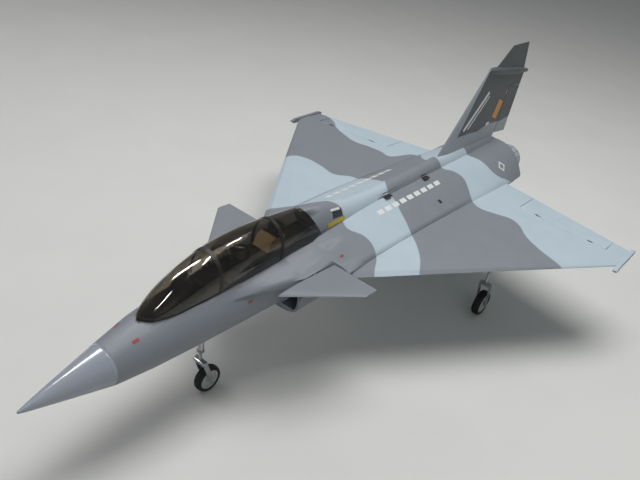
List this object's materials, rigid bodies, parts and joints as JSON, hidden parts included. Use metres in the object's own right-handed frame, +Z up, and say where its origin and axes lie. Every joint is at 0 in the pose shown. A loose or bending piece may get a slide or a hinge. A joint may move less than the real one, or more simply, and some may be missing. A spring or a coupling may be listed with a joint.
{
  "type": "radio-controlled ducted-fan jet model",
  "caption": "Grey foam radio-controlled jet model with a delta wing, canards, one fin and fixed tricycle gear.",
  "frame": {"origin": "centre of the ground rectangle under the model, standing on its three wheels", "axes": "+Z up, nose towards -Y, the model's left wing towards +X"},
  "size_m": [0.757, 1.1728, 0.426],
  "materials": {
    "foam_two_greys": "painted foam, matte, light and medium grey fields",
    "foam_mid_grey": "painted foam, matte",
    "foam_dark_grey": "painted foam, matte",
    "gloss_grey": "gloss",
    "nozzle_grey": "satin",
    "nylon": "moulded nylon",
    "wheel_grey": "moulded plastic",
    "tyre_rubber": "matte",
    "steel": "drawn wire and turned rod",
    "black_plastic": "moulded plastic",
    "smoked_canopy": "clear smoked moulding, gloss",
    "pilot_black": "satin",
    "seat_tan": "matte",
    "battery_wrap": "heat-shrunk film",
    "strap_web": "woven web",
    "controller_wrap": "heat-shrunk film"
  },
  "bodies": {
    "airframe": {"nose_cone": "gloss_grey", "front_fuselage": "foam_mid_grey", "intake_body": "foam_mid_grey", "centre_fuselage": "foam_two_greys", "dorsal_spine": "foam_two_greys", "fin": "foam_dark_grey", "fin_tip_fairing": "foam_dark_grey", "left_wing": "foam_two_greys", "right_wing": "foam_two_greys", "wing_spars": "black_plastic", "tip_rails": "foam_mid_grey", "canard_fairings": "foam_mid_grey", "canard_bushes": "nylon", "fan_shrouds": "black_plastic", "fan_motors": "steel", "tail_pipes": "black_plastic", "nozzles": "nozzle_grey", "battery": "battery_wrap", "battery_strap": "strap_web", "receiver": "black_plastic", "speed_controllers": "controller_wrap", "servos": "black_plastic", "elevon_hinges": "nylon", "rudder_hinges": "nylon", "gear_mounts": "black_plastic", "main_legs": "steel"},
    "hatch": {"canopy_glass": "smoked_canopy", "canopy_bows": "black_plastic", "hatch_tray": "black_plastic", "pilot": "pilot_black", "seat": "seat_tan", "instrument_coaming": "black_plastic"},
    "left_elevon_surface": {"left_elevon": "foam_two_greys", "left_elevon_fittings": "nylon"},
    "right_elevon_surface": {"right_elevon": "foam_two_greys", "right_elevon_fittings": "nylon"},
    "left_elevon_servo_arm": {"left_elevon_arm": "nylon"},
    "right_elevon_servo_arm": {"right_elevon_arm": "nylon"},
    "left_elevon_pushrod": {"left_elevon_rod": "steel"},
    "right_elevon_pushrod": {"right_elevon_rod": "steel"},
    "rudder_surface": {"rudder": "foam_dark_grey", "rudder_fittings": "nylon"},
    "rudder_servo_arm": {"rudder_arm": "nylon"},
    "rudder_pushrod": {"rudder_rod": "steel"},
    "canards": {"left_canard": "foam_mid_grey", "right_canard": "foam_mid_grey", "canard_shaft": "steel"},
    "canard_servo_arm": {"canard_arm": "nylon"},
    "canard_pushrod": {"canard_rod": "steel"},
    "left_fan_rotor": {"left_rotor": "black_plastic"},
    "right_fan_rotor": {"right_rotor": "black_plastic"},
    "steered_leg": {"nose_leg": "steel"},
    "steering_servo_arm": {"steering_arm": "nylon"},
    "steering_pushrod": {"steering_rod": "steel"},
    "nose_road_wheel": {"nose_wheel": "wheel_grey", "nose_tyre": "tyre_rubber"},
    "left_road_wheel": {"left_wheel": "wheel_grey", "left_tyre": "tyre_rubber"},
    "right_road_wheel": {"right_wheel": "wheel_grey", "right_tyre": "tyre_rubber"}
  },
  "joints": [
    {"name": "hatch_lift", "type": "slide", "parent": "airframe", "child": "hatch", "axis": [0, -0.766, 0.6428], "range_m": [0, 0.16]},
    {"name": "left_elevon_hinge", "type": "hinge", "parent": "airframe", "child": "left_elevon_surface", "pos_m": [0.25, 0.33661, 0.174], "axis": [0.9969, -0.0784, 0], "range_deg": [-25, 25]},
    {"name": "left_elevon_arm_turn", "type": "hinge", "parent": "airframe", "child": "left_elevon_servo_arm", "pos_m": [0.24635, 0.27872, 0.1715], "axis": [0.9969, -0.0784, 0], "range_deg": [-30, 30]},
    {"name": "left_elevon_rod_turn", "type": "hinge", "parent": "left_elevon_servo_arm", "child": "left_elevon_pushrod", "pos_m": [0.24635, 0.27872, 0.1595], "axis": [0.9969, -0.0784, 0], "range_deg": [-30, 30]},
    {"name": "right_elevon_hinge", "type": "hinge", "parent": "airframe", "child": "right_elevon_surface", "pos_m": [-0.25, 0.33661, 0.174], "axis": [0.9969, 0.0784, 0], "range_deg": [-25, 25]},
    {"name": "right_elevon_arm_turn", "type": "hinge", "parent": "airframe", "child": "right_elevon_servo_arm", "pos_m": [-0.24635, 0.27872, 0.1715], "axis": [0.9969, 0.0784, 0], "range_deg": [-30, 30]},
    {"name": "right_elevon_rod_turn", "type": "hinge", "parent": "right_elevon_servo_arm", "child": "right_elevon_pushrod", "pos_m": [-0.24635, 0.27872, 0.1595], "axis": [0.9969, 0.0784, 0], "range_deg": [-30, 30]},
    {"name": "rudder_hinge", "type": "hinge", "parent": "airframe", "child": "rudder_surface", "pos_m": [0, 0.50648, 0.28754], "axis": [0, 0.1323, 0.9912], "range_deg": [-25, 25]},
    {"name": "rudder_arm_turn", "type": "hinge", "parent": "airframe", "child": "rudder_servo_arm", "pos_m": [-0.0025, 0.44277, 0.27879], "axis": [0, 0.1323, 0.9912], "range_deg": [-30, 30]},
    {"name": "rudder_rod_turn", "type": "hinge", "parent": "rudder_servo_arm", "child": "rudder_pushrod", "pos_m": [-0.0145, 0.44277, 0.27879], "axis": [0, 0.1323, 0.9912], "range_deg": [-30, 30]},
    {"name": "canard_hinge", "type": "hinge", "parent": "airframe", "child": "canards", "pos_m": [0, -0.16939, 0.193], "axis": [1, 0, 0], "range_deg": [-20, 20]},
    {"name": "canard_arm_turn", "type": "hinge", "parent": "airframe", "child": "canard_servo_arm", "pos_m": [0.0049, -0.13339, 0.1905], "axis": [1, 0, 0], "range_deg": [-25, 25]},
    {"name": "canard_rod_turn", "type": "hinge", "parent": "canard_servo_arm", "child": "canard_pushrod", "pos_m": [0.0049, -0.13339, 0.1785], "axis": [1, 0, 0], "range_deg": [-25, 25]},
    {"name": "steering_hinge", "type": "hinge", "parent": "airframe", "child": "steered_leg", "pos_m": [0, -0.31639, 0.118], "axis": [0, 0, 1], "range_deg": [-30, 30]},
    {"name": "steering_arm_turn", "type": "hinge", "parent": "airframe", "child": "steering_servo_arm", "pos_m": [-0.0025, -0.36239, 0.1151], "axis": [0, 0, 1], "range_deg": [-35, 35]},
    {"name": "steering_rod_turn", "type": "hinge", "parent": "steering_servo_arm", "child": "steering_pushrod", "pos_m": [-0.0145, -0.36239, 0.1151], "axis": [0, 0, 1], "range_deg": [-35, 35]},
    {"name": "nose_wheel_spin", "type": "hinge", "parent": "steered_leg", "child": "nose_road_wheel", "pos_m": [0, -0.30039, 0.022], "axis": [1, 0, 0], "continuous": true},
    {"name": "left_wheel_spin", "type": "hinge", "parent": "airframe", "child": "left_road_wheel", "pos_m": [0.19, 0.21461, 0.025], "axis": [1, 0, 0], "continuous": true},
    {"name": "right_wheel_spin", "type": "hinge", "parent": "airframe", "child": "right_road_wheel", "pos_m": [-0.19, 0.21461, 0.025], "axis": [1, 0, 0], "continuous": true},
    {"name": "left_fan_spin", "type": "hinge", "parent": "airframe", "child": "left_fan_rotor", "pos_m": [0.037, 0.21361, 0.166], "axis": [0, 1, 0], "continuous": true},
    {"name": "right_fan_spin", "type": "hinge", "parent": "airframe", "child": "right_fan_rotor", "pos_m": [-0.037, 0.21361, 0.166], "axis": [0, 1, 0], "continuous": true}
  ],
  "couplings": [
    {"joint": "left_elevon_arm_turn", "follows": "left_elevon_hinge", "ratio": 1},
    {"joint": "left_elevon_rod_turn", "follows": "left_elevon_hinge", "ratio": -1},
    {"joint": "right_elevon_arm_turn", "follows": "right_elevon_hinge", "ratio": 1},
    {"joint": "right_elevon_rod_turn", "follows": "right_elevon_hinge", "ratio": -1},
    {"joint": "rudder_arm_turn", "follows": "rudder_hinge", "ratio": 1},
    {"joint": "rudder_rod_turn", "follows": "rudder_hinge", "ratio": -1},
    {"joint": "canard_arm_turn", "follows": "canard_hinge", "ratio": 1},
    {"joint": "canard_rod_turn", "follows": "canard_hinge", "ratio": -1},
    {"joint": "steering_arm_turn", "follows": "steering_hinge", "ratio": 1},
    {"joint": "steering_rod_turn", "follows": "steering_hinge", "ratio": -1}
  ]
}
